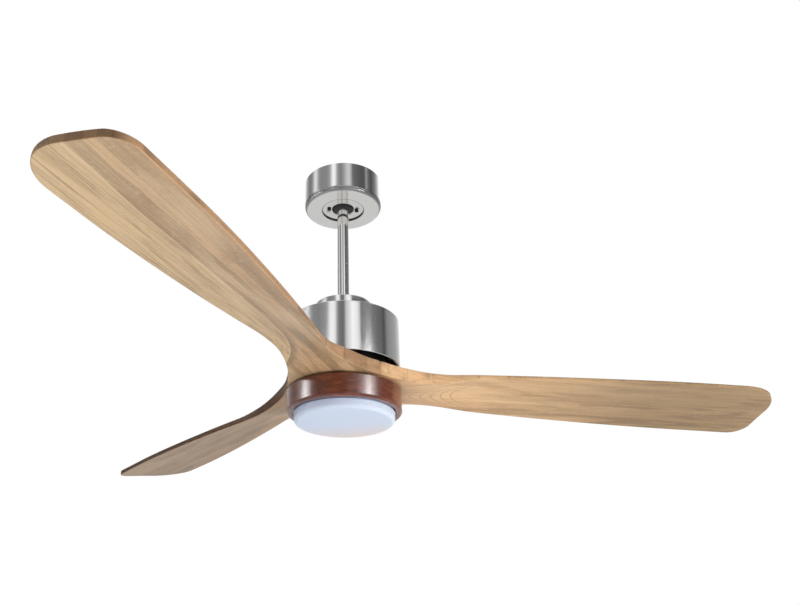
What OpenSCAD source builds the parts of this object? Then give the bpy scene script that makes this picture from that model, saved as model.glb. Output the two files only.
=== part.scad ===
// Ceiling fan with light: three carved wooden blades, brushed steel drum housing,
// external-rotor motor on a hollow fixed shaft, downrod on a hanger ball, and an LED light
// with a twist-off opal lens. Millimetres, +Z up, origin on the ceiling plane, on the fan's axis.

/* [Overall] */
// Radius swept by the blade tips
sweep_r = 755; // [600:1:900]
// Bare downrod between the canopy and the coupling cover
rod_show = 203; // [90:1:900]

/* [Canopy] */
// Outside diameter of the canopy
canopy_d = 144; // [125:1:200]
// Height of the canopy with its trim ring
canopy_h = 59.5; // [58:0.5:90]
// Sheet thickness of canopy, coupling cover and housing
sheet = 1.2; // [0.8:0.1:2]
// Height of the trim ring under the canopy cup
trim_h = 8.5; // [7:0.5:14]
// Depth of the floor recess inside the trim ring
recess = 2.6; // [2:0.1:4]
// Radius of the recess
recess_r = 39; // [34:1:50]
// Radius of the rod opening in the canopy floor
canopy_hole_r = 21.8; // [18:0.1:24]

/* [Hanger] */
// Width of the hanger bracket
bracket_w = 64; // [58:1:72]
// Steel thickness of the hanger bracket
bracket_t = 2.5; // [2:0.1:3.5]
// Width of the ceiling screw slots
slot_w = 5.5; // [4:0.1:7]
// Length of the ceiling screw slots
slot_l = 14; // [8:1:18]
// Radius of the hanger ball
ball_r = 25; // [22:0.5:26]
// Outside diameter of the downrod
rod_d = 21; // [16:0.5:24]
// Wall of the downrod
rod_wall = 2; // [1.2:0.1:3]

/* [Housing] */
// Diameter of the coupling cover on top of the housing
cover_d = 101; // [80:1:120]
// Height of the coupling cover
cover_h = 35; // [29:1:45]
// Outside diameter of the motor housing
housing_d = 194; // [160:1:240]
// Height of the motor housing
housing_h = 89; // [74:1:120]

/* [Motor] */
// Radial space between rotor and housing
rotor_gap = 17.8; // [8:0.1:24]
// Height of the rotor from mounting flange to top
rotor_h = 60; // [54:1:66]
// Thickness of the rotor mounting flange
flange_t = 4; // [3:0.5:6]
// Outside diameter of the hollow motor shaft
shaft_d = 17; // [15:0.5:20]
// Height of the stator core
core_h = 22; // [14:1:24]
// Number of stator teeth
teeth = 12; // [9:3:15]
// Number of rotor magnets
magnets = 14; // [8:2:16]

/* [Blades] */
// Gap between the housing rim and the top of the blade hub
hub_gap = 13.4; // [8:0.1:20]
// Thickness of the blade hub
hub_t = 22.5; // [18:0.5:30]
// Radius where two blades meet in their fillet
waist_r = 98.3; // [90:0.1:125]
// Half width of a blade at its neck
neck_w = 46; // [36:0.5:54]
// Half width of a blade near its tip
tip_w = 80; // [60:0.5:95]
// Sideways offset of the blade's centre line
blade_shift = 8; // [0:0.5:14]
// Thickness of a blade at its trailing edge
edge_t = 9; // [5:0.5:11]
// Thickness of a blade at its leading edge
lead_t = 5; // [4:0.5:9]
// Extra thickness of a blade on its centre line
crown_t = 4.5; // [2:0.5:8]
// Height between the leading and the trailing edge
pitch_rise = 26; // [8:0.5:28]
// Drop of the blade from neck to tip
droop = 7; // [0:0.5:14]
// Corner radius of the tip at the leading edge
lead_corner = 75; // [30:1:75]
// Corner radius of the tip at the trailing edge
trail_corner = 32; // [15:1:60]

/* [Light] */
// Diameter of the wood-finish light ring
ring_d = 195.5; // [165:0.5:240]
// Height of the light ring
ring_h = 38; // [36:1:60]
// Gap between the blade hub and the light ring
ring_gap = 5; // [4.5:0.5:12]
// Width of the ring's lower lip
ring_lip = 10.3; // [8:0.1:14]
// Drop of the lens below the light ring
lens_drop = 17.5; // [12:0.5:30]
// Wall of the lens
lens_wall = 2; // [1.5:0.1:3]

/* [Hidden] */
$fn = 64;
fit = 0.1;                 // radial running clearance
slip = 0.3;                // clearance between parts that only pass each other
thread_fit = 0.05;         // radial clearance of a screw in its tapped hole
canopy_gap = 1;            // canopy rim below the ceiling
groove_h = 1.3;            // shadow groove between canopy cup and trim ring

// Levels, from the ceiling down
canopy_bot = -canopy_gap - canopy_h;
trim_top = canopy_bot + trim_h;
cup_bot = trim_top + groove_h;
floor_bot = canopy_bot + recess;
floor_top = floor_bot + sheet;
canopy_r = canopy_d / 2;
seat_top = floor_top + bracket_t;
liner_t = 1.2;
socket_r = ball_r + liner_t + 2 * fit;
socket_drop = socket_r * 0.53;          // ball centre above the seat plate
ball_z = seat_top + socket_drop;
ball_foot = 19.5;                       // ball is cut off this far under its centre
ball_crown = 8;                         // and this far above it
rod_r = rod_d / 2;
rod_over = 11;                          // rod end above the ball centre
pin_r = 3;
pin_over = 5;                           // hanger pin above the ball centre
cover_top = canopy_bot - rod_show;
housing_top = cover_top - cover_h;
housing_bot = housing_top - housing_h;
housing_r = housing_d / 2;
hub_top = housing_bot - hub_gap;
hub_bot = hub_top - hub_t;
ring_top = hub_bot - ring_gap;
ring_bot = ring_top - ring_h;
ring_r = ring_d / 2;
lens_bot = ring_bot - lens_drop;

// Hanger bracket
bracket_x = sqrt(pow(canopy_r - sheet - 5, 2) - pow(bracket_w / 2, 2));
slot_x = bracket_x - bracket_t - 4 - slot_l / 2;
tab_w = 3;
tab_y = ball_r - 6;                     // tip of the tab that keys the ball
key_play = 3.1;                         // side play of the tab, which the sideways tilt uses up
seat_screw_r = 2;
seat_screw_x = canopy_hole_r + 4.5;
entry_w = rod_d + 5;                    // side opening that the rod passes through

// Receiver above the ball
receiver_l = 2 * (slot_x - slot_l / 2 - 5);
receiver_w = 40;
receiver_h = 20;
pad_t = 1;

// Coupling
yoke_r = rod_r + 7.5;
yoke_top = cover_top - 6.5;
flange_r = 42;
yoke_flange_t = 4;
rod_bot = housing_top + 4;
shaft_r = shaft_d / 2;
shaft_top = housing_top + 2;
bore_r = 5.5;                           // wire way through the shaft
clevis_z = rod_bot + 15;
grub_z = rod_bot + 7;
housing_screw_r = 32;

// Motor, from the housing inwards
rotor_r = housing_r - sheet - rotor_gap;
rotor_wall = 9;
rotor_in = rotor_r - rotor_wall;
yoke_ring_t = 4;
magnet_t = 4;
magnet_in = rotor_in - yoke_ring_t - magnet_t;
air_gap = 0.8;
core_r = magnet_in - air_gap;
shoe_t = 5.5;
tooth_w = 7;
coil_t = 3.3;
core_hub_r = 20;
core_yoke_r = 28;
flange_gap = 7.8;                       // rotor flange inside the housing rim
rotor_flange_r = housing_r - sheet - flange_gap;
rotor_bot = hub_top;
rotor_top = rotor_bot + rotor_h;
bearing_w = 10;
bearing_r = shaft_r + 9;
boss_r = bearing_r + 4.5;
low_bearing_z = rotor_bot + flange_t;
top_bearing_z = rotor_top - 2 - bearing_w;
split_z = rotor_bot + rotor_h * 0.48;
core_z = (low_bearing_z + bearing_w + top_bearing_z) / 2 - core_h / 2;
board_z = core_z + core_h + coil_t + 2.2;
blade_bolts = 9;
bolt_r = 3;
bolt_pcd_r = 58;
plate_r = 70;                           // blade clamp plate
plate_t = 2.5;
hub_hole_r = 32;

// Light, from the ring inwards
ring_wall = 2;
pan_r = ring_r - ring_wall - slip;
pan_t = 1.2;
opening_r = ring_r - ring_lip;
lens_r = opening_r - 1.4;
neck_r = lens_r - 5;
lug_r = neck_r + 4.4;
lock_t = 1.5;
lock_top = ring_bot + 4.5;
lug_h = 3;
lug_z = lock_top + slip;
neck_top = lug_z + lug_h;
led_clear = 0.6;                        // LEDs above the lens neck
chip_t = 0.9;
board_t = 1.6;
tray_t = 1.5;
tray_z = neck_top + led_clear + chip_t + board_t;
board_r = neck_r - lens_wall - 1;
stand_r = board_r - 18;
plate2_t = 2.5;
plate2_r = 40;
nut_h = 8;
nut_r = 13;
shaft_bot = ring_top - pan_t - plate2_t - nut_h - 3;
twist = 15;                             // lens turns this far to unlock

// ---------- shared shapes ----------

module tube(r_out, r_in, h) {
  difference() {
    cylinder(h = h, r = r_out);
    translate([0, 0, -1]) cylinder(h = h + 2, r = r_in);
  }
}

module at(r, a, z) {
  rotate(a) translate([r, 0, z]) children();
}

module ring_of(n, r, z, a0 = 0) {
  for (i = [0 : n - 1]) at(r, a0 + i * 360 / n, z) children();
}

// Screw hanging head down: the head's top face is at z = 0, the shank goes up
module screw_up(r, len, head_r, head_h) {
  difference() {
    union() {
      translate([0, 0, -head_h]) cylinder(h = head_h, r = head_r);
      translate([0, 0, -0.01]) cylinder(h = len + 0.01, r = r);
    }
    for (a = [0, 90])
      rotate(a) translate([-head_r * 0.55, -0.45, -head_h - 1]) cube([head_r * 1.1, 0.9, 1 + head_h * 0.5]);
  }
}

module screw_down(r, len, head_r, head_h) {
  rotate([180, 0, 0]) screw_up(r, len, head_r, head_h);
}

function arc(cx, cy, r, a0, a1, n) = [for (i = [0 : n]) let (a = a0 + (a1 - a0) * i / n)
  [cx + r * cos(a), cy + r * sin(a)]];

// Pie slice, centred on angle 0, to cut arcs out of rings
module slice(r, width) {
  polygon([[0, 0], [r * cos(width / 2), -r * sin(width / 2)], [r * 1.1, 0],
    [r * cos(width / 2), r * sin(width / 2)]]);
}

module arc_block(r_out, r_in, width, h) {
  linear_extrude(h) intersection() {
    difference() {
      circle(r_out);
      circle(r_in);
    }
    slice(r_out * 1.5, width);
  }
}

// ---------- ceiling side ----------

module hanger_bracket() {
  color("silver") difference() {
    union() {
      translate([-bracket_x, -bracket_w / 2, -bracket_t]) cube([2 * bracket_x, bracket_w, bracket_t]);
      for (s = [-1, 1])
        translate([s * (bracket_x - bracket_t / 2) - bracket_t / 2, -bracket_w / 2, floor_top])
          cube([bracket_t, bracket_w, -floor_top - bracket_t / 2]);
      translate([-bracket_x, -bracket_w / 2, floor_top]) cube([2 * bracket_x, bracket_w, bracket_t]);
      // tab that keeps the ball from turning
      translate([-tab_w / 2, tab_y, floor_top]) cube([tab_w, 8, bracket_t]);
    }
    // ceiling screw slots
    for (s = [-1, 1]) translate([s * slot_x, 0, -bracket_t - 1]) slot_cut(bracket_t + 2);
    // way in for the supply wires
    translate([0, bracket_w / 2 - 13, -bracket_t - 1]) cylinder(h = bracket_t + 2, r = 8);
    // ball seat, less the tab
    difference() {
      translate([0, 0, ball_z]) sphere(socket_r);
      translate([-tab_w / 2, tab_y, floor_top - 1]) cube([tab_w, 20, bracket_t + 2]);
      translate([-bracket_w, -bracket_w, -bracket_t - 5]) cube([2 * bracket_w, 2 * bracket_w, 20]);
    }
    // side entry for the rod
    translate([-entry_w / 2, -bracket_w, floor_top - 1]) cube([entry_w, bracket_w, bracket_t + 2]);
    // tapped holes for the canopy screws
    for (s = [-1, 1]) translate([s * seat_screw_x, 0, floor_top - 1])
      cylinder(h = bracket_t + 2, r = seat_screw_r + thread_fit);
    // lightening windows in the legs
    for (s = [-1, 1]) translate([s * bracket_x - 5, -bracket_w / 2 + 12, floor_top + 10])
      cube([10, bracket_w - 24, -floor_top - bracket_t - 24]);
    // tapped hole for the earth screw
    translate([0, bracket_w / 2 - 27, -bracket_t - 1])
      cylinder(h = bracket_t + 2, r = seat_screw_r + thread_fit);
  }
}

module slot_cut(h) {
  e = (slot_l - slot_w) / 2;
  for (s = [-1, 1]) translate([s * e, 0, 0]) cylinder(h = h, r = slot_w / 2);
  translate([-e, -slot_w / 2, 0]) cube([2 * e, slot_w, h]);
}

module canopy_cup() {
  neck = canopy_r - 1.6;
  color("gainsboro") difference() {
    rotate_extrude() polygon([
      [canopy_hole_r, floor_bot], [neck - 1, floor_bot], [neck, floor_bot + 1], [neck, cup_bot],
      [canopy_r, cup_bot], [canopy_r, -canopy_gap], [canopy_r - sheet, -canopy_gap],
      [canopy_r - sheet, cup_bot + sheet], [neck - sheet, cup_bot + sheet],
      [neck - sheet, floor_top], [canopy_hole_r, floor_top]]);
    // keyholes for the two canopy screws
    for (a = [0, 180]) rotate(a) translate([0, 0, floor_bot - 1]) {
      translate([seat_screw_x, 0, 0]) cylinder(h = sheet + 2, r = seat_screw_r + slip);
      rotate(-17) translate([seat_screw_x + 1, 0, 0]) cylinder(h = sheet + 2, r = 4.2);
      rotate(-9) translate([seat_screw_x - seat_screw_r, -4, 0]) cube([2 * seat_screw_r, 8, sheet + 2]);
    }
  }
}

module canopy_trim() {
  neck = canopy_r - 1.6;
  round_r = 4.6;
  color("gainsboro") rotate_extrude() polygon(concat(
    [[recess_r, floor_bot - fit], [recess_r, canopy_bot + 0.5], [recess_r + 0.5, canopy_bot]],
    arc(canopy_r - 0.7 - round_r, canopy_bot + round_r, round_r, -90, 0, 8),
    [[canopy_r - 0.7, trim_top - 3.2], [canopy_r, trim_top - 2.6], [canopy_r, trim_top - 0.4],
     [canopy_r - 0.4, trim_top], [neck + fit, trim_top],
     [neck + fit, floor_bot + 0.9], [neck - 0.9, floor_bot - fit]]));
}

module canopy_screws() {
  color("silver") for (a = [0, 180]) at(seat_screw_x, a, floor_bot)
    screw_up(seat_screw_r, sheet + bracket_t + 2, 3.7, 2.2);
}

module receiver_case() {
  color("whitesmoke") difference() {
    translate([-receiver_l / 2, -receiver_w / 2, -bracket_t - pad_t - receiver_h])
      cube([receiver_l, receiver_w, receiver_h - 2]);
    translate([-receiver_l / 2 + 1.8, -receiver_w / 2 + 1.8, -bracket_t - pad_t - receiver_h + 1.8])
      cube([receiver_l - 3.6, receiver_w - 3.6, receiver_h]);
    for (s = [-1, 1]) translate([s * (receiver_l / 2), 0, -bracket_t - pad_t - receiver_h / 2])
      rotate([0, 90, 0]) translate([0, 0, -3]) cylinder(h = 6, r = 3.5);
  }
}

module receiver_lid() {
  color("white") translate([-receiver_l / 2, -receiver_w / 2, -bracket_t - pad_t - 2])
    cube([receiver_l, receiver_w, 2]);
}

module receiver_pad() {
  color("dimgray") translate([-receiver_l / 2 + 4, -receiver_w / 2 + 3, -bracket_t - pad_t])
    cube([receiver_l - 8, receiver_w - 24, pad_t]);
}

block_z = floor_top + 15;

module terminal_block() {
  color("white") difference() {
    translate([-bracket_x + bracket_t, -15, block_z]) cube([11, 30, 12]);
    for (i = [-1 : 1]) translate([-bracket_x + bracket_t + 6, i * 9, block_z - 1]) {
      cylinder(h = 5, r = 1.8);
      translate([0, 0, 5]) cylinder(h = 20, r = 2.2);
    }
  }
}

module terminal_screws() {
  color("goldenrod") for (i = [-1 : 1]) translate([-bracket_x + bracket_t + 6, i * 9, block_z + 8])
    screw_down(1.4, 3.4, 2, 1.6);
}

module earth_screw() {
  color("green") translate([0, bracket_w / 2 - 27, -bracket_t])
    rotate(30) screw_up(seat_screw_r, bracket_t - 0.2, 3.6, 0.9);
}

// ---------- ball and rod ----------

module ball_liner() {
  top = ball_z - socket_drop + 3;
  color("black") difference() {
    intersection() {
      difference() {
        translate([0, 0, ball_z]) sphere(ball_r + fit + liner_t);
        translate([0, 0, ball_z]) sphere(ball_r + fit);
      }
      translate([0, 0, floor_top]) cylinder(h = top - floor_top, r = ball_r + 5);
    }
    translate([-5.5, 0, floor_top - 5]) cube([11, 2 * ball_r, 30]);
    translate([-entry_w / 2, -2 * ball_r, floor_top - 5]) cube([entry_w, 2 * ball_r, 30]);
  }
}

module hanger_ball() {
  color("black") difference() {
    intersection() {
      translate([0, 0, ball_z]) sphere(ball_r);
      translate([0, 0, ball_z - ball_foot]) cylinder(h = ball_foot + ball_crown, r = ball_r + 1);
    }
    translate([0, 0, ball_z - 2 * ball_r]) cylinder(h = 4 * ball_r, r = rod_r + fit);
    // groove for the hanger pin
    translate([-ball_r * 0.75, -pin_r - fit, ball_z + pin_over - pin_r - fit])
      cube([ball_r * 1.5, 2 * (pin_r + fit), 20]);
    // groove that the bracket's tab runs in
    translate([-tab_w / 2 - key_play, tab_y - 4.6, ball_z - 2 * ball_r])
      cube([tab_w + 2 * key_play, 20, 2 * ball_r + 4]);
  }
}

module hanger_pin() {
  color("silver") translate([0, 0, ball_z + pin_over]) rotate([0, 90, 0])
    translate([0, 0, -ball_r * 0.7]) cylinder(h = ball_r * 1.4, r = pin_r);
}

module downrod() {
  color("silver") difference() {
    translate([0, 0, rod_bot]) tube(rod_r, rod_r - rod_wall, ball_z + rod_over - rod_bot);
    for (p = [ball_z + pin_over, clevis_z]) translate([0, 0, p]) rotate([0, 90, 0])
      translate([0, 0, -rod_d]) cylinder(h = 2 * rod_d, r = pin_r + fit);
  }
}

// The cable bundle runs in the rod and shaft, beside the two cross pins
module rod_harness() {
  side = pin_r + fit + 0.4;
  color("dimgray") {
    for (s = [-1, 1]) {
      translate([0, s * (side + 1.25), rod_bot + 1]) cylinder(h = ball_z + rod_over - rod_bot + 1, r = 1.25);
      translate([0, s * (bore_r - 2.3), shaft_bot + 1]) cylinder(h = shaft_top - shaft_bot - 2, r = 1.25);
    }
  }
}

module yoke() {
  color("darkgray") difference() {
    union() {
      translate([0, 0, housing_top - 2]) cylinder(h = yoke_top - housing_top + 2, r = yoke_r);
      translate([0, 0, housing_top - sheet - yoke_flange_t]) cylinder(h = yoke_flange_t, r = flange_r);
      translate([0, 0, housing_top - sheet - 14]) cylinder(h = 14, r = shaft_r + 6);
    }
    translate([0, 0, rod_bot]) cylinder(h = 100, r = rod_r + fit);
    translate([0, 0, shaft_top - 100]) cylinder(h = 100, r = shaft_r + fit / 4);
    translate([0, 0, shaft_top - 1]) cylinder(h = 10, r = bore_r);
    translate([0, 0, clevis_z]) rotate([0, 90, 0]) translate([0, 0, -50]) cylinder(h = 100, r = pin_r + fit);
    for (s = [-1, 1]) translate([0, 0, grub_z]) rotate([s * 90, 0, 0]) cylinder(h = 50, r = 3 + thread_fit);
    ring_of(3, housing_screw_r, housing_top - 50, 30) cylinder(h = 60, r = 2 + thread_fit);
  }
}

module clevis_pin() {
  color("silver") translate([0, 0, clevis_z]) rotate([0, 90, 0]) difference() {
    union() {
      translate([0, 0, -yoke_r - 2.5]) cylinder(h = 2.4, r = pin_r + 1.8);
      translate([0, 0, -yoke_r - 2]) cylinder(h = 2 * yoke_r + 8, r = pin_r);
    }
    translate([-10, 0, yoke_r + 3]) rotate([0, 90, 0]) cylinder(h = 20, r = 0.9);
  }
}

module hairpin_clip() {
  wire = 0.7;
  reach = pin_r + 6;
  color("silver") translate([yoke_r + 3, 0, clevis_z]) {
    translate([0, 0, -reach]) cylinder(h = 2 * reach - 3, r = wire);
    translate([0, 0, -reach]) rotate([90, 0, 0]) cylinder(h = 5, r = wire);
    translate([0, -5, -reach]) cylinder(h = 2 * reach - 6, r = wire);
    for (p = [[0, -reach], [-5, -reach]]) translate([0, p[0], p[1]]) sphere(wire);
  }
}

module yoke_grub_screws() {
  color("dimgray") for (s = [-1, 1]) translate([0, 0, grub_z]) rotate([s * 90, 0, 0])
    translate([0, 0, rod_r + 0.05]) difference() {
      cylinder(h = yoke_r - rod_r + 1.5, r = 3);
      translate([0, 0, yoke_r - rod_r - 1]) cylinder(h = 4, r = 1.6, $fn = 6);
    }
}

module coupling_cover() {
  r = cover_d / 2;
  hole = rod_r + 1.3;
  soft = 2;
  color("gainsboro") rotate_extrude() polygon(concat(
    [[r, housing_top + 0.05]],
    arc(r - soft, cover_top - soft, soft, 0, 90, 5),
    [[hole, cover_top], [hole, cover_top - sheet], [r - sheet - 0.8, cover_top - sheet],
     [r - sheet, cover_top - sheet - 0.8], [r - sheet, housing_top + 0.05]]));
}

// ---------- housing and motor, fixed ----------

module motor_housing() {
  soft = 1.6;
  lip = 3;
  color("gainsboro") difference() {
    rotate_extrude() polygon(concat(
      [[housing_r - lip, housing_bot + 1], [housing_r - lip, housing_bot], [housing_r - 0.6, housing_bot],
       [housing_r, housing_bot + 0.6]],
      arc(housing_r - soft, housing_top - soft, soft, 0, 90, 5),
      [[yoke_r + 0.5, housing_top], [yoke_r + 0.5, housing_top - sheet],
       [housing_r - sheet, housing_top - sheet], [housing_r - sheet, housing_bot + 1]]));
    ring_of(3, housing_screw_r, housing_top - 5, 30) cylinder(h = 10, r = 2 + slip);
  }
}

module housing_screws() {
  color("silver") ring_of(3, housing_screw_r, housing_top, 30)
    screw_down(2, sheet + yoke_flange_t + 1, 3.8, 2.4);
}

module motor_shaft() {
  color("silver") difference() {
    translate([0, 0, shaft_bot]) tube(shaft_r, bore_r, shaft_top - shaft_bot);
    // side window that lets the stator leads into the bore
    translate([0, 0, core_z + core_h + 6]) rotate([0, 90, 90]) cylinder(h = shaft_d, r = 2.5);
    for (z = [top_bearing_z + bearing_w, low_bearing_z - 1.2]) translate([0, 0, z])
      difference() {
        cylinder(h = 1.2, r = shaft_r + 1);
        translate([0, 0, -1]) cylinder(h = 4, r = shaft_r - 0.7);
      }
  }
}

module stator_hub() {
  color("lightgray") translate([0, 0, core_z - 2]) tube(core_hub_r - 0.02, shaft_r + fit / 4, core_h + 4);
}

module core_outline() {
  difference() {
    circle(core_yoke_r);
    circle(core_hub_r);
  }
  for (i = [0 : teeth - 1]) rotate(i * 360 / teeth) {
    translate([core_yoke_r - 1, -tooth_w / 2]) square([core_r - core_yoke_r - 1, tooth_w]);
    intersection() {
      difference() {
        circle(core_r);
        circle(core_r - shoe_t);
      }
      slice(core_r * 1.5, 360 / teeth * 0.84);
    }
  }
}

module stator_core() {
  color("slategray") translate([0, 0, core_z]) linear_extrude(core_h) core_outline();
}

module slot_insulators() {
  color("white") for (z = [core_z - 1.2, core_z + core_h]) translate([0, 0, z])
    tube(core_yoke_r + 1.5, core_hub_r + 0.5, 1.2);
}

module stator_windings() {
  inner = core_yoke_r + 2.4;
  long = core_r - shoe_t - 1.2 - inner;
  play = 0.3;
  color("peru") for (i = [0 : teeth - 1]) rotate(i * 360 / teeth) difference() {
    translate([inner, -tooth_w / 2 - coil_t, core_z - coil_t])
      cube([long, tooth_w + 2 * coil_t, core_h + 2 * coil_t]);
    translate([inner - 1, -tooth_w / 2 - play, core_z - play])
      cube([long + 2, tooth_w + 2 * play, core_h + 2 * play]);
  }
}

module control_board() {
  color("seagreen") difference() {
    translate([0, 0, board_z]) tube(core_r - 2, boss_r + 2, 1.6);
    ring_of(3, core_r - 4.2, board_z - 1) cylinder(h = 4, r = 1.6);
  }
}

module board_parts() {
  mid = (core_r + boss_r) / 2;
  color("black") {
    ring_of(6, mid, board_z + 1.6, 15) translate([-4, -3, 0]) cube([8, 6, 2.4]);
    ring_of(2, mid, board_z + 1.6, 45) cylinder(h = 5, r = 3.6);
    ring_of(3, core_r - 4.2, core_z + core_h, 0) cylinder(h = board_z - core_z - core_h, r = 2.2);
  }
}

module bearing_inner_rings() {
  color("lightgray") for (z = [low_bearing_z, top_bearing_z]) translate([0, 0, z]) difference() {
    tube(shaft_r + 3, shaft_r + fit / 4, bearing_w);
    translate([0, 0, bearing_w / 2]) ball_race();
  }
}

module ball_race() {
  rotate_extrude() translate([shaft_r + 4.5, 0]) circle(r = 2.6);
}

module bearing_balls() {
  color("silver") for (z = [low_bearing_z, top_bearing_z])
    ring_of(9, shaft_r + 4.5, z + bearing_w / 2) sphere(2.5);
}

module bearing_outer_rings() {
  color("lightgray") for (z = [low_bearing_z, top_bearing_z]) translate([0, 0, z]) difference() {
    tube(bearing_r, shaft_r + 6, bearing_w);
    translate([0, 0, bearing_w / 2]) ball_race();
  }
}

module shaft_circlips() {
  color("dimgray") for (z = [top_bearing_z + bearing_w + 0.1, low_bearing_z - 1.1])
    translate([0, 0, z]) difference() {
      tube(shaft_r + 2, shaft_r - 0.6, 1);
      rotate(90) translate([0, -2, -1]) cube([20, 4, 3]);
    }
}

// ---------- rotor ----------

module rotor_upper_shell() {
  color("dimgray") difference() {
    rotate_extrude() polygon([
      [shaft_r + 3.4, rotor_top], [rotor_r - 3, rotor_top], [rotor_r, rotor_top - 3],
      [rotor_r, split_z + 0.05], [rotor_in, split_z + 0.05], [rotor_in, rotor_top - 4],
      [boss_r, rotor_top - 4], [boss_r, top_bearing_z + 1], [bearing_r + 0.01, top_bearing_z + 1],
      [bearing_r + 0.01, top_bearing_z + bearing_w + 0.2], [shaft_r + 3.4, top_bearing_z + bearing_w + 0.2]]);
    ring_of(6, rotor_r - rotor_wall / 2, split_z - 1) cylinder(h = 40, r = 2 + slip);
    // cooling slots
    ring_of(12, (rotor_in + boss_r) / 2, rotor_top - 10, 15)
      translate([-9, -2, 0]) cube([18, 4, 20]);
  }
}

module rotor_lower_shell() {
  color("black") difference() {
    rotate_extrude() polygon([
      [shaft_r + 3.4, rotor_bot], [rotor_flange_r, rotor_bot], [rotor_flange_r, rotor_bot + flange_t - 1],
      [rotor_flange_r - 1, rotor_bot + flange_t], [rotor_r + 1.5, rotor_bot + flange_t],
      [rotor_r, rotor_bot + flange_t + 1.5], [rotor_r, split_z], [rotor_in, split_z],
      [rotor_in, rotor_bot + flange_t + 2], [boss_r, rotor_bot + flange_t + 2],
      [boss_r, low_bearing_z + bearing_w - 1], [bearing_r + 0.01, low_bearing_z + bearing_w - 1],
      [bearing_r + 0.01, low_bearing_z - 0.2], [shaft_r + 3.4, low_bearing_z - 0.2]]);
    ring_of(6, rotor_r - rotor_wall / 2, split_z - 14) cylinder(h = 20, r = 2 + thread_fit);
    ring_of(blade_bolts, bolt_pcd_r, rotor_bot - 1) cylinder(h = 20, r = bolt_r + thread_fit);
  }
}

module rotor_back_iron() {
  color("gray") translate([0, 0, core_z - 2]) tube(rotor_in - 0.02, rotor_in - yoke_ring_t, core_h + 4);
}

module rotor_magnets() {
  color("darkslategray") for (i = [0 : magnets - 1]) rotate(i * 360 / magnets)
    translate([0, 0, core_z - 1])
      arc_block(rotor_in - yoke_ring_t - 0.02, magnet_in, 360 / magnets * 0.88, core_h + 2);
}

module rotor_screws() {
  color("silver") ring_of(6, rotor_r - rotor_wall / 2, rotor_top)
    screw_down(2, rotor_top - split_z + 8, 3.7, 2.4);
}

// ---------- blades ----------
// In its own frame a blade points along +X. Its leading edge is on the -Y side and higher.

s_neck = 200;                           // radius where the hub flare ends
s_full = sweep_r - 135;                 // radius where the blade has its full width
s_tip = sqrt(pow(sweep_r, 2) - pow(blade_shift + tip_w - trail_corner, 2));
waist_x = waist_r * cos(60);
waist_y = waist_r * sin(60);
seam = 0.1;                             // half of the joint line between two blade roots
edge_r = 1.6;                           // softening of the blade's edges

function mix(a, b, t) = a + (b - a) * t;
function smooth(a, b, x) = let (t = min(1, max(0, (x - a) / (b - a)))) t * t * (3 - 2 * t);
function taper(s) = tip_w - (tip_w - neck_w) * pow(max(0, s_full - s) / (s_full - s_neck), 1.75);
taper_slope = 1.75 * (tip_w - neck_w) / (s_full - s_neck);

// Flare from the waist, square to the joint line, to the neck
function flare(s, y1) = let (h = s_neck - waist_x, t = (s - waist_x) / h)
  waist_y * (2 * pow(t, 3) - 3 * pow(t, 2) + 1) - tan(30) * h * (pow(t, 3) - 2 * pow(t, 2) + t)
  + y1 * (3 * pow(t, 2) - 2 * pow(t, 3)) + taper_slope * h * (pow(t, 3) - pow(t, 2));

function corner(s, r) = let (d = max(0, s - (s_tip - r))) r - sqrt(max(0, r * r - d * d));

// Distance of an edge from the X axis; side is +1 for the trailing and -1 for the leading edge
function board_edge(s, side) = let (off = side * blade_shift)
  s < waist_x ? s * tan(60) - 2 * seam :
  s < s_neck ? flare(s, neck_w + off) - 2 * seam :
  taper(s) + off;

// The same with the tip's corners cut round
function half_width(s, side) = board_edge(s, side) - corner(s, side > 0 ? trail_corner : lead_corner);

function blade_z(s, f) = let (
    b = smooth(100, 245, s),
    mid = hub_bot + hub_t * 0.22 - droop * max(0, s - s_neck) / (s_tip - s_neck))
  mix(hub_bot, mid + (f - 0.5) * pitch_rise + 1.6 * 4 * f * (1 - f), b);

function blade_t(s, f) = mix(hub_t,
  mix(edge_t, lead_t, f) + crown_t * 4 * f * (1 - f) + 1.5 * (1 - smooth(200, 480, s)),
  smooth(100, 250, s));

across = 9;                             // points across each face of a section
// One section, from the trailing edge under the blade to the leading edge and back over the top.
// Heights follow the whole board, so the rounded tip is cut out of an even twist.
function section(s) = let (
    y0 = half_width(s, 1),
    y1 = -half_width(s, -1),
    soft = max(0.4, edge_r * smooth(waist_x, waist_x + 25, s)),
    board = board_edge(s, 1) + board_edge(s, -1),
    row = [for (i = [0 : across - 1]) let (y = mix(y0 - soft, y1 + soft, i / (across - 1)))
      [y, (board_edge(s, 1) - y) / board]],
    f0 = (board_edge(s, 1) - y0) / board,
    f1 = (board_edge(s, 1) - y1) / board)
  concat(
    [for (p = row) [s, p[0], blade_z(s, p[1])]],
    [[s, y1, blade_z(s, f1) + soft], [s, y1, blade_z(s, f1) + blade_t(s, f1) - soft]],
    [for (i = [across - 1 : -1 : 0]) [s, row[i][0], blade_z(s, row[i][1]) + blade_t(s, row[i][1])]],
    [[s, y0, blade_z(s, f0) + blade_t(s, f0) - soft], [s, y0, blade_z(s, f0) + soft]]);

stations = concat(
  [15, waist_x * 0.62, waist_x - 0.01],
  [for (i = [1 : 14]) mix(waist_x, 250, i / 14)],
  [for (i = [1 : 10]) mix(250, s_tip - lead_corner, i / 10)],
  [for (i = [1 : 9]) s_tip - lead_corner * (1 - sin(90 * i / 9))]);

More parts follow.
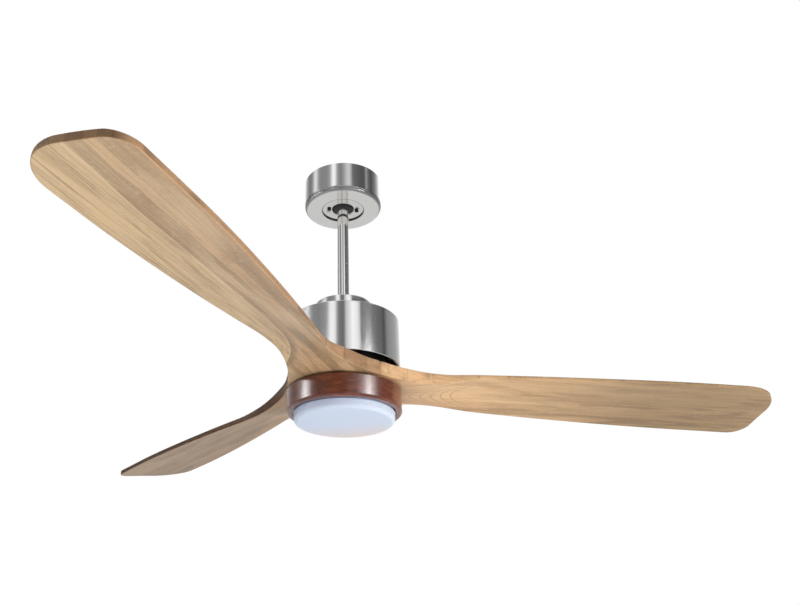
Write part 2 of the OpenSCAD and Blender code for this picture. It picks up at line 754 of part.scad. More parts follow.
// End of the blade: triangles between the lower and the upper row of section points
function end_faces(first, n, far) = [
  for (j = [-1 : across - 1]) let (
      k = j + 1,
      p = first + (j < 0 ? n - 1 : j),
      q = first + k,
      q_up = first + (k == across ? across + 1 : n - 3 - k),
      p_up = first + (j < 0 ? n - 2 : n - 3 - j))
    each far ? [[p, q_up, q], [p, p_up, q_up]] : [[p, q, q_up], [p, q_up, p_up]]];

module blade_body() {
  n = 2 * across + 4;
  rows = len(stations);
  polyhedron(
    points = [for (s = stations) for (p = section(s)) p],
    faces = concat(
      end_faces(0, n, false),
      [for (i = [0 : rows - 2]) for (j = [0 : n - 1]) let (k = (j + 1) % n, a = i * n, b = a + n)
        [a + k, a + j, b + k]],
      [for (i = [0 : rows - 2]) for (j = [0 : n - 1]) let (k = (j + 1) % n, a = i * n, b = a + n)
        [a + j, b + j, b + k]],
      end_faces((rows - 1) * n, n, true)),
    convexity = 4);
}

module blade(i) {
  color("burlywood") rotate(i * 120) difference() {
    blade_body();
    translate([0, 0, hub_bot - 20]) cylinder(h = hub_t + 40, r = hub_hole_r);
    translate([0, 0, hub_bot - 20]) cylinder(h = 20 + plate_t, r = plate_r + slip);
    for (k = [-1 : 1]) at(bolt_pcd_r, k * 40, hub_bot - 20) cylinder(h = hub_t + 40, r = bolt_r + slip);
  }
}

module blade_clamp_plate() {
  color("silver") difference() {
    translate([0, 0, hub_bot]) tube(plate_r, hub_hole_r - 6, plate_t);
    ring_of(blade_bolts, bolt_pcd_r, hub_bot - 1) cylinder(h = plate_t + 2, r = bolt_r + slip);
  }
}

module blade_screws() {
  color("silver") ring_of(blade_bolts, bolt_pcd_r, hub_bot) screw_up(bolt_r, hub_t + 5, 5.2, 2.8);
}

// ---------- light ----------

module light_pan() {
  color("whitesmoke") difference() {
    union() {
      translate([0, 0, ring_top - pan_t]) cylinder(h = pan_t, r = pan_r);
      translate([0, 0, lock_top + 0.02]) tube(pan_r, pan_r - pan_t, ring_top - lock_top - pan_t / 2);
    }
    translate([0, 0, ring_top - 50]) cylinder(h = 60, r = shaft_r + slip);
    ring_of(3, plate2_r - 10, ring_top - 20, 30) cylinder(h = 40, r = 2 + slip);
    ring_of(3, stand_r, ring_top - 20, 60) cylinder(h = 40, r = 1.5 + slip);
  }
}

module light_ring() {
  soft = 4;
  lip_t = 2;
  color("sienna") rotate_extrude() polygon(concat(
    [[opening_r, ring_bot + lip_t], [opening_r, ring_bot + 0.8], [opening_r + 0.8, ring_bot]],
    arc(ring_r - soft, ring_bot + soft, soft, -90, 0, 8),
    arc(ring_r - 1, ring_top - 1, 1, 0, 90, 3),
    [[ring_r - ring_wall, ring_top], [ring_r - ring_wall, ring_bot + lip_t + 0.8],
     [ring_r - ring_wall - 0.8, ring_bot + lip_t]]));
}

module light_plate() {
  color("silver") difference() {
    translate([0, 0, ring_top - pan_t - plate2_t]) tube(plate2_r, shaft_r + slip, plate2_t);
    ring_of(3, plate2_r - 10, ring_top - 20, 30) cylinder(h = 40, r = 2 + thread_fit);
  }
}

module shaft_nuts() {
  color("silver") for (z = [ring_top - pan_t - plate2_t - nut_h, ring_top]) translate([0, 0, z])
    difference() {
      cylinder(h = nut_h, r = nut_r, $fn = 6);
      translate([0, 0, -1]) cylinder(h = nut_h + 2, r = shaft_r + thread_fit);
    }
}

module light_plate_screws() {
  color("silver") ring_of(3, plate2_r - 10, ring_top, 30)
    screw_down(2, pan_t + plate2_t + 1.5, 3.6, 2);
}

module standoffs() {
  len = ring_top - pan_t - tray_z - tray_t;
  color("silver") ring_of(3, stand_r, tray_z + tray_t, 60) {
    difference() {
      cylinder(h = len, r = 3.5);
      translate([0, 0, -1]) cylinder(h = 9, r = 1.5 + thread_fit);
    }
    translate([0, 0, len - 0.01]) cylinder(h = pan_t + 0.6, r = 1.5);
  }
}

module led_tray() {
  color("lightgray") difference() {
    translate([0, 0, tray_z]) cylinder(h = tray_t, r = board_r + 1);
    ring_of(3, stand_r, tray_z - 5, 60) cylinder(h = 20, r = 1.5 + slip);
    translate([0, 0, tray_z - 5]) cylinder(h = 20, r = 5);
  }
}

module led_board() {
  color("white") difference() {
    translate([0, 0, tray_z - board_t]) cylinder(h = board_t - 0.01, r = board_r);
    ring_of(3, stand_r, tray_z - 5, 60) cylinder(h = 20, r = 1.5 + slip);
    translate([0, 0, tray_z - 5]) cylinder(h = 20, r = 5);
  }
}

module led_chips() {
  color("khaki") for (row = [[0.86, 18], [0.56, 12], [0.28, 6]])
    ring_of(row[1], board_r * row[0], tray_z - board_t - chip_t, 0)
      translate([-1.75, -1.75, 0]) cube([3.5, 3.5, chip_t - 0.01]);
}

module led_board_screws() {
  color("silver") ring_of(3, stand_r, tray_z - board_t, 60) screw_up(1.5, board_t + tray_t + 5, 3, 0.9);
}

driver_w = 50;
driver_x = nut_r + 7;
driver_l = min(48, sqrt(pow(board_r - 2, 2) - pow(driver_w / 2, 2)) - driver_x);
driver_h = ring_top - pan_t - plate2_t - tray_z - tray_t - 3;

module led_driver() {
  color("whitesmoke") translate([driver_x, -driver_w / 2, tray_z + tray_t]) difference() {
    cube([driver_l, driver_w, driver_h]);
    for (s = [0.25, 0.75]) translate([-1, driver_w * s - 2.5, driver_h * 0.4]) cube([3, 5, 4]);
  }
}

module led_connector() {
  color("white") translate([-driver_x - 14, -6, tray_z + tray_t]) {
    difference() {
      cube([9, 12, 7]);
      translate([1.5, 1.5, 4]) cube([6, 9, 5]);
    }
    translate([-9, 1.5, 0]) cube([8.8, 9, 6]);
  }
}

module lens_lock_ring() {
  color("silver") difference() {
    union() {
      translate([0, 0, lock_top - lock_t]) tube(pan_r, neck_r + 0.8, lock_t);
      // stops that end the lens's turn
      for (i = [0 : 2]) rotate(i * 120 + 8.6) translate([0, 0, lock_top - 0.01])
        arc_block(lug_r + 2.4, neck_r + 1.2, 2.4, lug_h);
    }
    // notches that let the lens lugs in
    for (i = [0 : 2]) rotate(i * 120 - twist) translate([0, 0, lock_top - lock_t - 1])
      arc_block(lug_r + 1, neck_r - 2, 16, lock_t + 5);
  }
}

module lens() {
  w = lens_wall;
  round_r = 7;
  dish = 1.2;
  color("white") union() {
    rotate_extrude() polygon(concat(
      [[neck_r, neck_top], [neck_r, ring_bot - 1.2], [lens_r, ring_bot - 1.2]],
      arc(lens_r - 0.8 - round_r, lens_bot + dish + round_r, round_r, 0, -84, 8),
      [[lens_r * 0.5, lens_bot + dish * 0.3], [0, lens_bot], [0, lens_bot + w],
       [lens_r * 0.5, lens_bot + dish * 0.3 + w]],
      arc(lens_r - 0.8 - round_r, lens_bot + dish + round_r, round_r - w, -84, 0, 6),
      [[lens_r - w - 0.4, ring_bot - 3.2], [neck_r - w, ring_bot - 3.2], [neck_r - w, neck_top]]));
    for (i = [0 : 2]) rotate(i * 120) translate([0, 0, lug_z]) arc_block(lug_r, neck_r - 1, 12, lug_h);
  }
}

hanger_bracket();
canopy_cup();
canopy_trim();
canopy_screws();
receiver_case();
receiver_lid();
receiver_pad();
terminal_block();
terminal_screws();
earth_screw();
ball_liner();
hanger_ball();
hanger_pin();
downrod();
rod_harness();
yoke();
clevis_pin();
hairpin_clip();
yoke_grub_screws();
coupling_cover();
motor_housing();
housing_screws();
motor_shaft();
stator_core();
stator_hub();
slot_insulators();
stator_windings();
control_board();
board_parts();
bearing_inner_rings();
bearing_balls();
bearing_outer_rings();
shaft_circlips();
rotor_upper_shell();
rotor_lower_shell();
rotor_back_iron();
rotor_magnets();
rotor_screws();
blade(0);  // blade_1
blade(1);  // blade_2
blade(2);  // blade_3
blade_clamp_plate();
blade_screws();
light_pan();
light_ring();
light_plate();
shaft_nuts();
light_plate_screws();
standoffs();
led_tray();
led_board();
led_chips();
led_board_screws();
led_driver();
led_connector();
lens_lock_ring();
lens();
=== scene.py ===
import math

import bmesh
import bpy
from mathutils import Euler, Matrix, Vector


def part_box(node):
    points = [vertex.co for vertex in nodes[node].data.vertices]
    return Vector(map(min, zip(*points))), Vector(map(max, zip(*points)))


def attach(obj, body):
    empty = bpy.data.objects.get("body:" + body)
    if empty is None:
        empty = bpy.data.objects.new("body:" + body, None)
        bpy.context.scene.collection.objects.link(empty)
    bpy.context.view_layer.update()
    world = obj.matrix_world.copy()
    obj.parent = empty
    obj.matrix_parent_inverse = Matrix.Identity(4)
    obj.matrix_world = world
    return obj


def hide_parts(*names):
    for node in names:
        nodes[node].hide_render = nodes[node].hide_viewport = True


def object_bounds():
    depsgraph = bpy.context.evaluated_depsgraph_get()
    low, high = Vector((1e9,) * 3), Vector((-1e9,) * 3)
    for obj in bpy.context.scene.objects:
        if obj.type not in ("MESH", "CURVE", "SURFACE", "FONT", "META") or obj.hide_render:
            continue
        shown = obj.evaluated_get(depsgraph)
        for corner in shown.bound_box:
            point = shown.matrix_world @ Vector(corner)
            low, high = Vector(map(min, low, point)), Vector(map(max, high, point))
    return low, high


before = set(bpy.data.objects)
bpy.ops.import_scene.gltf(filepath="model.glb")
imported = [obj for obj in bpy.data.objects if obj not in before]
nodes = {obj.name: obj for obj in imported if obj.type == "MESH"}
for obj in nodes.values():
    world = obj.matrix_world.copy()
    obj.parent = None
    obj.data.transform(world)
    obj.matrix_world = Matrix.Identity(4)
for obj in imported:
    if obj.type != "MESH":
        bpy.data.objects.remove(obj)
cad_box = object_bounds()

# ---------------------------------------------------------------- the room
# A fan is looked at from below, so the camera stands in the room a little to one side
# and looks up. The floor is a pale screed far below the fan.
eye = Vector((-0.1821, -1.3292, -0.9153))
heading, pitch, roll = math.radians(-3.894), math.radians(26.58), math.radians(1.408)
focal_mm = 37.21
shift_right, shift_up = 0.1338, -0.0078

camera = bpy.data.objects.new("camera", bpy.data.cameras.new("camera"))
bpy.context.collection.objects.link(camera)
camera.data.lens = focal_mm
camera.data.shift_x = shift_right
camera.data.shift_y = shift_up
gaze = Euler((math.pi / 2 + pitch, 0, heading)).to_matrix() @ Matrix.Rotation(roll, 3, "Z")
camera.matrix_world = Matrix.Translation(eye) @ gaze.to_4x4()
bpy.context.scene.camera = camera
bpy.context.scene.view_settings.view_transform = "Standard"


class Value:
    """A socket of a material. Arithmetic on it adds Math nodes."""

    def __init__(self, finish, socket):
        self.finish, self.socket = finish, socket

    def math(self, operation, *inputs):
        return self.finish.node("ShaderNodeMath", {"operation": operation}, dict(enumerate(inputs)))

    def __add__(self, other):
        return self.math("ADD", self, other)

    def __sub__(self, other):
        return self.math("SUBTRACT", self, other)

    def __rsub__(self, other):
        return self.math("SUBTRACT", other, self)

    def __mul__(self, other):
        return self.math("MULTIPLY", self, other)

    def __truediv__(self, other):
        return self.math("DIVIDE", self, other)

    __radd__, __rmul__ = __add__, __mul__

    def step(self, low, high):
        """0 below low, 1 above high, smooth between them."""
        return self.finish.node("ShaderNodeMapRange", {"interpolation_type": "SMOOTHSTEP"}, {
            "Value": self, "From Min": low, "From Max": high})

    def only(self, operation, *others):
        """Any other Math operation, with this value first."""
        return self.math(operation, self, *others)


class Finish:
    """A material with one Principled shader, built up from values, or else a given tree of nodes."""

    def __init__(self, name, tree=None, **constants):
        self.tree = tree
        if tree:
            return
        self.material = bpy.data.materials.new(name)
        self.material.use_nodes = True
        self.tree = self.material.node_tree
        self.shader = self.tree.nodes["Principled BSDF"]
        for key, value in constants.items():
            self.shader.inputs[key.replace("_", " ").title()].default_value = value

    def node(self, kind, settings=None, inputs=None, output=0):
        """Adds any node: its settings first, then the values or links of its sockets."""
        made = self.tree.nodes.new(kind)
        for key, value in (settings or {}).items():
            if key == "stops":
                ramp = made.color_ramp
                while len(ramp.elements) < len(value):
                    ramp.elements.new(1.0)
                for element, (place, colour) in zip(ramp.elements, value):
                    element.position, element.color = place, colour
            else:
                setattr(made, key, value)
        for key, value in (inputs or {}).items():
            if isinstance(value, Value):
                self.tree.links.new(value.socket, made.inputs[key])
            else:
                made.inputs[key].default_value = value
        return Value(self, made.outputs[output])

    def feed(self, **values):
        """Links what varies over the surface to the shader."""
        for key, value in values.items():
            self.tree.links.new(value.socket, self.shader.inputs[key.replace("_", " ").title()])
        return self

    def place(self, turn=0.0, scale=(1, 1, 1)):
        """Object coordinates in metres, turned about Z and then scaled."""
        point = self.node("ShaderNodeTexCoord", output="Object")
        point = self.node("ShaderNodeMapping", {}, {"Vector": point, "Rotation": (0, 0, turn)})
        return self.node("ShaderNodeMapping", {}, {"Vector": point, "Scale": scale})

    def axes(self, point):
        """The X, Y and Z parts of a vector."""
        return [self.node("ShaderNodeSeparateXYZ", {}, {0: point}, i) for i in range(3)]

    def noise(self, point, scale, detail=3.0, roughness=0.5, distortion=0.0):
        return self.node("ShaderNodeTexNoise", {}, {
            "Vector": point, "Scale": scale, "Detail": detail,
            "Roughness": roughness, "Distortion": distortion})

    def mix(self, factor, one, two, blend="MIX"):
        """Colour one where factor is 0, colour two where it is 1."""
        settings = {"data_type": "RGBA", "blend_type": blend}
        return self.node("ShaderNodeMix", settings, {0: factor, 6: one, 7: two}, 2)

    def bump(self, height, strength, distance=0.001):
        return self.node("ShaderNodeBump", {}, {
            "Height": height, "Strength": strength, "Distance": distance})


def rgb(red, green, blue):
    """A colour from screen values 0 to 255, as the linear colour that a socket takes."""
    screen = (red, green, blue)
    return tuple(((v / 255 + 0.055) / 1.055) ** 2.4 if v > 10 else v / 3294 for v in screen) + (1.0,)


def shade(colour, share):
    """A colour made darker or lighter by a share, as far as white."""
    return tuple(min(1, v * share) for v in colour[:3]) + (1,)


def grey(tone):
    return (tone,) * 3 + (1,)


def paint(finish, *names):
    """Gives a finish to CAD nodes."""
    for name in names:
        for holder in nodes[name].material_slots:
            holder.material = finish.material


def screed():
    finish = Finish("pale_screed", roughness=0.8)
    point = finish.place()
    cloud = finish.noise(point, 1.3)
    return finish.feed(base_color=finish.mix(cloud, rgb(236, 236, 235), rgb(244, 244, 243)))


floor_drop = 2.7
floor_reach = 9
slab = bmesh.new()
bmesh.ops.create_grid(slab, x_segments=1, y_segments=1, size=floor_reach)
bmesh.ops.translate(slab, verts=slab.verts, vec=(0, 0, cad_box[0].z - floor_drop))
floor = bpy.data.objects.new("floor", bpy.data.meshes.new("floor"))
slab.to_mesh(floor.data)
floor.data.materials.append(screed().material)
bpy.context.collection.objects.link(floor)

# The studio: upright light panels and grey flags stand round the fan in tiers, for the polished
# pieces to mirror. Each entry is a panel's bearing in degrees from the line behind the camera,
# and its brightness.
low_tier = [(-180, 0.7), (-150, 0.6), (-135, 0.4), (-115, 0.3), (-100, 2.0), (-85, 19.0), (-71, 1.4),
            (-56, 0.1), (-45, 0.9), (-38, 5.0), (-30, 2.0), (-20, 0.1), (0, 0.1), (22, 0.7), (34, 7.0),
            (46, 26.0), (56, 9.0), (66, 1.0), (80, 0.2), (128, 0.05), (140, 0.3), (152, 0.9)]
middle_tier = [(-180, 0.8), (-168, 0.76), (-151, 0.5), (-128, 0.2), (-112, 0.28), (-98, 0.6),
               (-84, 0.76), (-78, 0.44), (-73, 0.26), (-58, 0.23), (-42, 0.29), (-37, 0.4), (-33, 0.86),
               (-26, 0.97), (-21, 0.86), (-17, 0.34), (-12, 0.18), (-3, 0.16), (1, 0.58), (15, 1.04),
               (23, 0.92), (28, 0.72), (32, 0.16), (40, 0.085), (50, 0.13), (60, 0.15), (80, 0.13),
               (87, 0.07), (98, 0.26), (128, 0.38), (149, 0.62), (163, 0.82)]
high_tier = [(-180, 0.85), (-168, 0.78), (-151, 0.55), (-140, 0.33), (-126, 0.19), (-114, 0.25),
             (-107, 0.4), (-100, 0.76), (-93, 0.8), (-88, 0.5), (-80, 0.28), (-70, 0.24), (-52, 0.27),
             (-43, 0.38), (-38, 0.76), (-33, 1.02), (-27, 0.94), (-23, 0.5), (-18, 0.3), (-9, 0.22),
             (0, 0.37), (12, 0.64), (19, 0.54), (26, 0.15), (58, 0.085), (66, 0.1), (72, 0.34),
             (80, 0.15), (92, 0.07), (110, 0.2), (125, 0.5), (140, 1.05)]
# heights between which one tier gives way to the next, as the sine of the angle above the horizon
to_low, to_middle, to_high, to_roof = (0.26, 0.3), (0.35, 0.362), (0.45, 0.57), (0.75, 0.95)
world = bpy.data.worlds.new("studio")
world.use_nodes = True
bpy.context.scene.world = world
sky = Finish(None, world.node_tree)
way = sky.node("ShaderNodeTexCoord", output="Generated")
way = sky.node("ShaderNodeMapping", {"vector_type": "VECTOR"}, {
    "Vector": way, "Rotation": (0, 0, -heading)})
east, north, height = sky.axes(way)
# 0 at -180 degrees, 0.5 straight behind the camera, 1 at +180 degrees
bearing = east.only("ARCTAN2", north * -1.0) / (2 * math.pi) + 0.5


def tier(panels):
    stops = [(angle / 360 + 0.5, grey(light)) for angle, light in panels]
    return sky.node("ShaderNodeValToRGB", {"stops": stops}, {0: bearing})


walls = sky.mix(height.step(*to_low), tier(middle_tier), tier(low_tier))
walls = sky.mix(height.step(*to_middle), walls, tier(middle_tier))
walls = sky.mix(height.step(*to_high), walls, tier(high_tier))
below = sky.node("ShaderNodeValToRGB", {"stops": [
    (0.0, (0.92, 0.88, 0.84, 1)),
    (0.55, (0.8, 0.8, 0.82, 1)),
    (1.0, (0.62, 0.66, 0.72, 1))]}, {0: height + 1.0})
mirrored = sky.mix(height.step(-0.1, 0.06), below, walls)
mirrored = sky.mix(height.step(*to_roof), mirrored, grey(0.8))
# what lights the matt pieces: a pale ceiling, and walls that are dark on the left and bright on the right
sides = sky.mix(east.step(-0.7, 0.9), (0.03, 0.03, 0.035, 1), (0.9, 0.88, 0.85, 1))
matt = sky.mix(height.step(0.2, 0.5), sides, (0.72, 0.72, 0.71, 1))
is_mirrored = sky.node("ShaderNodeLightPath", output="Is Glossy Ray")
is_seen = sky.node("ShaderNodeLightPath", output="Is Camera Ray")
light = sky.mix(is_seen, sky.mix(is_mirrored, matt, mirrored), grey(1.0))
world.node_tree.links.new(light.socket, world.node_tree.nodes["Background"].inputs["Color"])


def lamp(name, place, aim, size, power, colour):
    """A round soft lamp that the polished pieces don't mirror."""
    data = bpy.data.lights.new(name, "AREA")
    data.shape, data.size, data.energy, data.color = "DISK", size, power, colour
    made = bpy.data.objects.new(name, data)
    bpy.context.collection.objects.link(made)
    made.location = place
    made.rotation_euler = (Vector(aim) - Vector(place)).to_track_quat("-Z", "Y").to_euler()
    made.visible_glossy = False


lamp("key", (1.9, -0.9, -1.1), (0.1, -0.1, -0.42), 0.7, 26, (1.0, 0.92, 0.82))
lamp("fill", (-0.6, -1.5, -2.3), (-0.2, -0.3, -0.42), 1.2, 22, (1.0, 0.97, 0.93))

# ---------------------------------------------------------------- hanger bracket
# A zinc-plated steel channel that is screwed to the ceiling box through two slots.
# Its lower plate holds the hanger ball.


def plated_steel(name, tone, roughness, grain):
    """Bright plating over drawn steel, with faint blotches and fine draw lines."""
    finish = Finish(name, metallic=1.0)
    blotch = finish.noise(finish.place(), 60.0, 4.0)
    lines = finish.noise(finish.place(scale=(1, 1, 14)), grain, 2.0)
    return finish.feed(
        base_color=finish.mix(blotch, shade(tone, 0.86), shade(tone, 1.12)),
        roughness=roughness + blotch * 0.16 + lines * 0.08,
        normal=finish.bump(lines, 0.12, 0.0002))


zinc = plated_steel("zinc_plate", (0.62, 0.64, 0.66), 0.24, 420)
paint(zinc, "hanger_bracket", "blade_clamp_plate", "light_plate", "lens_lock_ring")

# ---------------------------------------------------------------- screws, pins and bearings
# Bright zinc-plated screws, nuts and pins, and ground bearing steel. The two screws that
# show in the canopy are blackened.
bright = plated_steel("bright_screw", (0.72, 0.72, 0.72), 0.14, 700)
paint(bright, "hanger_pin", "clevis_pin", "hairpin_clip", "yoke_grub_screws", "housing_screws",
      "motor_shaft", "shaft_circlips", "rotor_screws", "blade_screws", "shaft_nuts",
      "light_plate_screws", "standoffs", "led_board_screws", "bearing_inner_rings",
      "bearing_balls", "bearing_outer_rings")
paint(plated_steel("black_oxide", (0.035, 0.035, 0.04), 0.34, 420), "canopy_screws")

# ---------------------------------------------------------------- canopy, cover, housing and rod
# Spun and drawn steel, plated in nickel and polished along the height, so the walls show
# upright reflections. A disc with a rolled bead is pressed on under the canopy as its trim.


def polished_nickel():
    finish = Finish("polished_nickel", metallic=1.0)
    around = finish.noise(finish.place(scale=(1, 1, 0.02)), 900.0, 2.0, 0.6)
    cloud = finish.noise(finish.place(), 22.0, 3.0)
    return finish.feed(
        base_color=finish.mix(around, grey(0.83), grey(0.93)),
        roughness=0.05 + around * 0.05 + cloud * 0.04,
        normal=finish.bump(around, 0.03, 0.0002))


paint(polished_nickel(), "canopy_cup", "coupling_cover", "motor_housing", "downrod")

canopy_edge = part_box("canopy_cup")[1].x
recess_edge = 0.0394


def trim_nickel():
    """Bright on its flat underside and duller round the rolled bead, with a painted shadow line in the
    step at its inner edge.
    """
    finish = Finish("rolled_trim", metallic=1.0)
    x, y, _ = finish.axes(finish.place())
    radius = (x * x + y * y).only("SQRT")
    bead = radius.step(canopy_edge - 0.005, canopy_edge - 0.002)
    # painted shade: a thin dark ring where the step at the trim's inner edge lies in shadow
    step = 1 - (radius - recess_edge).only("ABSOLUTE").step(0.0004, 0.0011)
    around = finish.noise(finish.place(scale=(1, 1, 0.02)), 900.0, 2.0, 0.6)
    colour = finish.mix(bead, grey(0.94), (0.36, 0.36, 0.37, 1))
    # the painted shadow line of the step goes into the colour here
    colour = finish.mix(step, colour, grey(0.03))
    return finish.feed(
        base_color=finish.mix(around * 0.12, colour, grey(0.5)),
        roughness=0.06 + bead * 0.22 + around * 0.05,
        normal=finish.bump(around, 0.03, 0.0002))


paint(trim_nickel(), "canopy_trim")


# ---------------------------------------------------------------- receiver and wiring
# The remote receiver is a white moulded box between the bracket's legs, with a snap lid and
# a foam pad under the ceiling plate. The supply wires end in a three-way terminal block.


def moulded(name, colour, roughness=0.45, grain=900):
    """Injection-moulded plastic with a fine spark-eroded skin."""
    finish = Finish(name)
    point = finish.place()
    skin = finish.noise(point, grain, 2.0)
    cloud = finish.noise(point, 18.0, 2.0)
    return finish.feed(
        base_color=finish.mix(cloud, shade(colour, 0.93), colour),
        roughness=roughness + skin * 0.12,
        normal=finish.bump(skin, 0.1, 0.0002))


paint(moulded("white_moulding", rgb(235, 235, 232)), "receiver_case", "receiver_lid", "terminal_block",
      "led_driver", "led_connector", "slot_insulators")
paint(moulded("foam_pad", rgb(48, 48, 50), 0.9, 260), "receiver_pad")
paint(plated_steel("brass_screw", (0.78, 0.6, 0.3), 0.22, 600), "terminal_screws")
paint(plated_steel("green_earth_screw", (0.1, 0.42, 0.18), 0.3, 600), "earth_screw")

# ---------------------------------------------------------------- ball and liner
# The hanger ball is moulded in black nylon and sits on a thin rubber liner. The wires'
# sleeves and the control board's parts are the same black.
paint(moulded("black_nylon", rgb(22, 22, 23), 0.38), "hanger_ball", "rod_harness", "board_parts")
paint(moulded("black_rubber", rgb(16, 16, 16), 0.75, 300), "ball_liner")


# ---------------------------------------------------------------- coupling and motor
# Die-cast yoke, laminated stator with enamelled copper coils, a lacquered control board,
# and a rotor in two black-painted cast shells with ferrite magnets on a steel ring.


def cast_alloy():
    finish = Finish("cast_alloy", metallic=1.0)
    sand = finish.noise(finish.place(), 260.0, 4.0)
    return finish.feed(
        base_color=finish.mix(sand, (0.42, 0.43, 0.44, 1), (0.6, 0.61, 0.62, 1)),
        roughness=0.38 + sand * 0.2,
        normal=finish.bump(sand, 0.25, 0.0003))


def laminated(name, tone):
    """Stamped sheets half a millimetre thick, stacked along the axis."""
    finish = Finish(name, metallic=0.85)
    height = finish.axes(finish.place())[2]
    sheet = (height * 2000.0).only("FRACT")
    groove = (sheet - 0.5).only("ABSOLUTE").step(0.36, 0.48)
    rust = finish.noise(finish.place(), 90.0, 3.0)
    face = finish.mix(rust, shade(tone, 1.0), shade(tone, 0.8))
    return finish.feed(
        base_color=finish.mix(groove, face, shade(tone, 0.5)),
        roughness=0.45 + rust * 0.15,
        normal=finish.bump(1 - groove, 0.3, 0.0002))


def enamelled_copper():
    finish = Finish("enamelled_copper", metallic=0.9)
    height = finish.axes(finish.place())[2]
    strand = (height * 1400.0).only("SINE") * 0.5 + 0.5
    return finish.feed(
        base_color=finish.mix(strand, rgb(120, 58, 28), rgb(205, 116, 66)),
        roughness=0.28 + strand * 0.1,
        normal=finish.bump(strand, 0.5, 0.0004))


def circuit_board():
    finish = Finish("circuit_board", roughness=0.35)
    cells = finish.node("ShaderNodeTexVoronoi", {"feature": "DISTANCE_TO_EDGE"}, {
        "Vector": finish.place(scale=(1, 1, 0.01)), "Scale": 240.0})
    track = 1 - cells.step(0.03, 0.07)
    return finish.feed(base_color=finish.mix(track, rgb(16, 84, 46), rgb(48, 128, 78)))


def black_paint():
    finish = Finish("black_paint", coat_weight=0.2)
    point = finish.place()
    peel = finish.noise(point, 420.0, 2.0)
    dust = finish.noise(point, 35.0, 4.0).step(0.5, 0.75)
    return finish.feed(
        base_color=finish.mix(dust, rgb(14, 14, 15), rgb(26, 26, 27)),
        roughness=0.34 + dust * 0.2,
        normal=finish.bump(peel, 0.12, 0.0003))


paint(cast_alloy(), "yoke", "stator_hub")
paint(laminated("stator_steel", (0.34, 0.35, 0.37)), "stator_core")
paint(laminated("rotor_steel", (0.4, 0.4, 0.41)), "rotor_back_iron")
paint(moulded("ferrite", rgb(66, 66, 70), 0.6, 500), "rotor_magnets")
paint(enamelled_copper(), "stator_windings")
paint(circuit_board(), "control_board")
paint(black_paint(), "rotor_upper_shell", "rotor_lower_shell")


# ---------------------------------------------------------------- blades
# Each blade is carved from a glued-up board of pale hardwood and clear lacquered. Its root
# is a third of the hub, and nine screws through a steel plate clamp the three together.
hub_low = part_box("blade_clamp_plate")[0].z
hub_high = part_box("rotor_lower_shell")[0].z
plate_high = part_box("blade_clamp_plate")[1].z
plate_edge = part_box("blade_clamp_plate")[1].x
# sizes in metres; s is the distance out along a blade, and f the share of the way across it
plate_gap = 0.0003
shaft_way = 0.032
third = math.radians(120)
sweep = 0.755
waist = 0.0983
neck_half, tip_half = 0.046, 0.080
blade_shift = 0.008
edge_thick, lead_thick, crown = 0.009, 0.005, 0.0045
pitch_rise, droop = 0.026, 0.007
lead_corner, trail_corner = 0.075, 0.032
edge_round = 0.0015
seam = 0.0001
root_at, neck_at, full_at = 0.015, 0.200, sweep - 0.135
tip_at = math.sqrt(sweep ** 2 - (blade_shift + tip_half - trail_corner) ** 2) - 0.0002
waist_x, waist_y = waist * math.cos(third / 2), waist * math.sin(third / 2)


def ease(low, high, x):
    t = min(1, max(0, (x - low) / (high - low)))
    return t * t * (3 - 2 * t)


def blend(a, b, t):
    return a + (b - a) * t


def board_edge(s, side):
    """How far the uncut board's edge lies from its axis: the trailing edge for 1, the leading for -1."""
    off = side * blade_shift
    slope = 1.75 * (tip_half - neck_half) / (full_at - neck_at)
    if s < waist_x:
        return s * math.tan(third / 2) - 2 * seam
    if s < neck_at:
        run = neck_at - waist_x
        t = (s - waist_x) / run
        return (waist_y * (2 * t ** 3 - 3 * t ** 2 + 1)
                - math.tan(third / 4) * run * (t ** 3 - 2 * t ** 2 + t)
                + (neck_half + off) * (3 * t ** 2 - 2 * t ** 3)
                + slope * run * (t ** 3 - t ** 2) - 2 * seam)
    return off + tip_half - (tip_half - neck_half) * (max(0, full_at - s) / (full_at - neck_at)) ** 1.75


def half_width(s, side):
    """The same with the tip's corners cut round."""
    corner = trail_corner if side > 0 else lead_corner
    past = max(0, s - (tip_at - corner))
    return board_edge(s, side) - (corner - math.sqrt(max(0, corner ** 2 - past ** 2)))


def lean(s, side):
    """How steeply that edge runs across the blade; the end itself counts as square."""
    small = 1e-4
    return abs(half_width(s + small, side) - half_width(s, side)) / small if s < tip_at - small else 50


def underside(s, f):
    """Height of the lower face, where f goes from 0 at the trailing edge to 1 at the leading edge."""
    mid = hub_low + (hub_high - hub_low) * 0.22 - droop * max(0, s - neck_at) / (tip_at - neck_at)
    return blend(hub_low, mid + (f - 0.5) * pitch_rise + 0.0064 * f * (1 - f), ease(0.1, 0.245, s))


def thickness(s, f):
    """From the full hub down to the blade, which is thickest along its middle."""
    thin = blend(edge_thick, lead_thick, f) + crown * 4 * f * (1 - f) + 0.0015 * (1 - ease(0.2, 0.48, s))
    return blend(hub_high - hub_low, thin, ease(0.1, 0.25, s))


